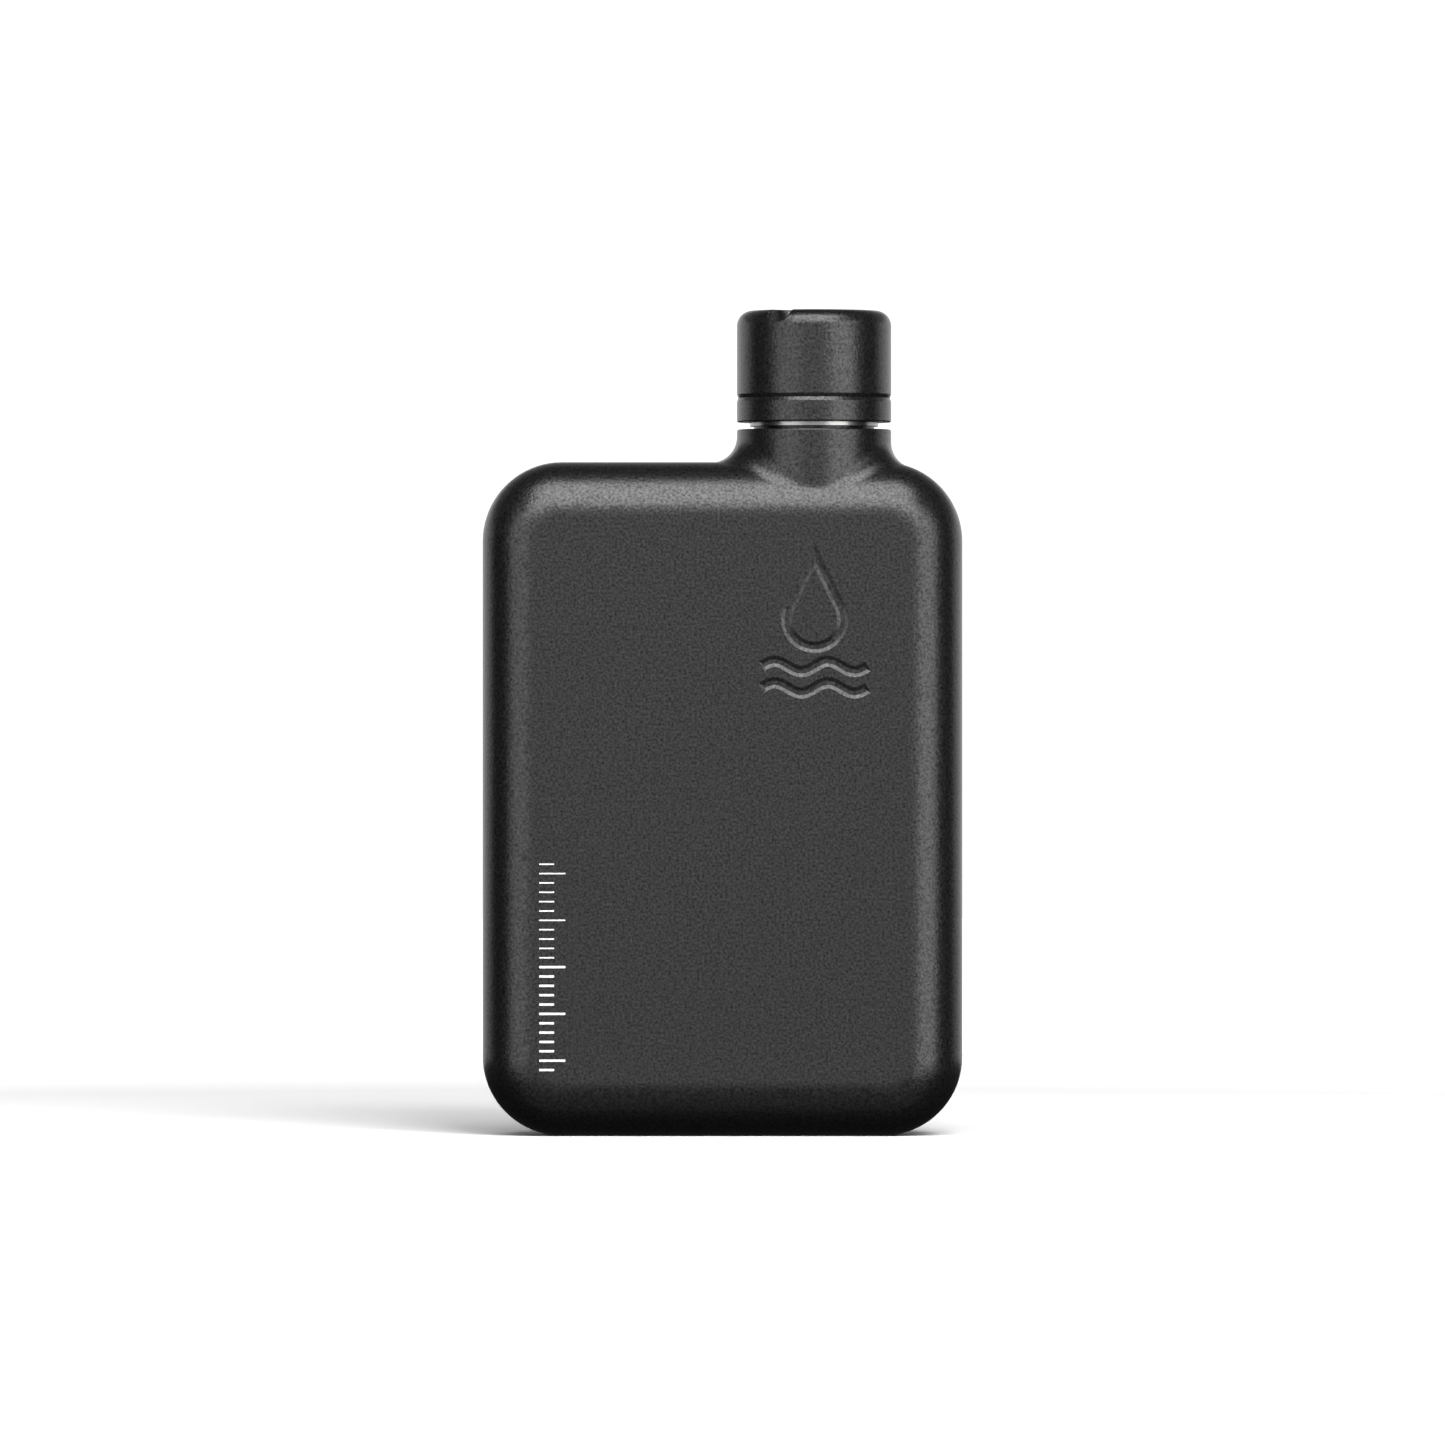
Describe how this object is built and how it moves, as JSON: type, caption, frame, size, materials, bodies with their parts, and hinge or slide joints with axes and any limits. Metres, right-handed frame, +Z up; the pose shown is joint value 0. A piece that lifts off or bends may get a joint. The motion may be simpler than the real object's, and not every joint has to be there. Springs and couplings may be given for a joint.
{
  "type": "slim hip flask",
  "caption": "Slim upright steel hip flask: a flat rounded body pressed in two halves, an offset threaded steel spout and a screw cap that turns and lifts off.",
  "frame": {"origin": "middle of the foot, on the surface that the flask stands on", "axes": "+Z up along the flask's height, +X to the right across its width towards the neck's side, +Y to the back, so the front face looks along -Y"},
  "size_m": [0.103, 0.0364, 0.1772],
  "materials": {
    "powder_coat": "matte black fine-grained powder coat on stainless sheet",
    "polished_steel": "bare turned stainless, polished",
    "black_plastic": "black moulded polypropylene",
    "silicone": "translucent white food silicone",
    "silver_ink": "silver printed ink"
  },
  "bodies": {
    "flask": {"front_shell": "powder_coat", "back_shell": "powder_coat", "neck_spout": "polished_steel", "printed_ticks": "silver_ink"},
    "seal": {"mouth_seal": "silicone"},
    "cap": {"cap_shell": "powder_coat", "cap_band": "powder_coat", "cap_liner": "black_plastic"}
  },
  "joints": [
    {"name": "cap_lift", "type": "slide", "parent": "flask", "child": "seal", "axis": [0, 0, 1], "range_m": [0, 0.04]},
    {"name": "cap_turn", "type": "hinge", "parent": "seal", "child": "cap", "pos_m": [0.0197, 0, 0.165], "axis": [0, 0, 1], "range_deg": [0, 1800]}
  ],
  "couplings": [
    {"joint": "cap_lift", "follows": "cap_turn", "m_per_rad": 0.0012732}
  ]
}
